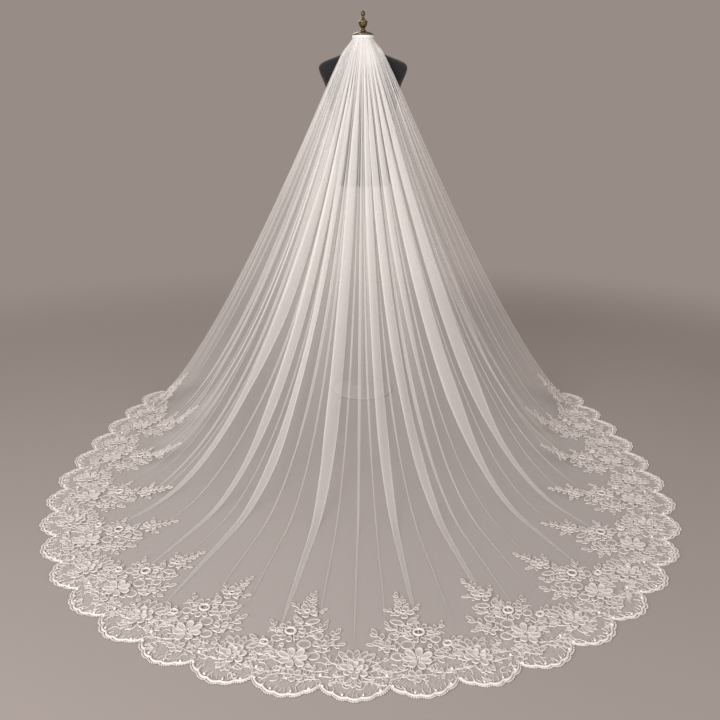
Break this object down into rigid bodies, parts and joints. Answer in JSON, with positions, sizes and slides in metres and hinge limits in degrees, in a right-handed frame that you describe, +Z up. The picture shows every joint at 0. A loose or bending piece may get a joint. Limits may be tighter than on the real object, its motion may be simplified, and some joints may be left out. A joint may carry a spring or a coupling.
{
  "type": "bridal veil on a limbless dress form",
  "caption": "Long tulle veil gathered at the nape of a dress form, spreading into a round train with a scalloped lace border and floral appliques.",
  "frame": {"origin": "centre of the stand's base on the floor, on the pole's axis", "axes": "+Z up, +Y the way the dress form faces, -Y the way the train runs, +X to the right seen from behind"},
  "size_m": [2.3294, 2.3844, 1.7795],
  "materials": {
    "tulle": "sheer soft net",
    "lace": "embroidered lace with cord and small pearls",
    "satin": "satin",
    "form_cloth": "matte knit cover",
    "brass": "aged, darkened in the hollows",
    "stand": "satin"
  },
  "bodies": {
    "root": {"veil_tulle": "tulle", "lace_border": "lace", "hem_braid": "lace", "top_binding": "satin", "form_torso": "form_cloth", "neck_cap": "brass", "finial": "brass", "stand_pole": "stand", "stand_base": "stand", "spray_01": "lace", "spray_02": "lace", "spray_03": "lace", "spray_04": "lace", "spray_05": "lace", "spray_06": "lace", "spray_07": "lace", "spray_08": "lace", "spray_09": "lace", "spray_10": "lace", "spray_11": "lace", "spray_12": "lace", "spray_13": "lace", "spray_14": "lace", "spray_15": "lace", "spray_16": "lace", "blossom_01": "lace", "blossom_02": "lace", "blossom_03": "lace", "blossom_04": "lace", "blossom_05": "lace", "blossom_06": "lace", "blossom_07": "lace", "blossom_08": "lace", "blossom_09": "lace", "blossom_10": "lace", "blossom_11": "lace", "blossom_12": "lace", "blossom_13": "lace", "blossom_14": "lace", "blossom_15": "lace"}
  },
  "joints": []
}
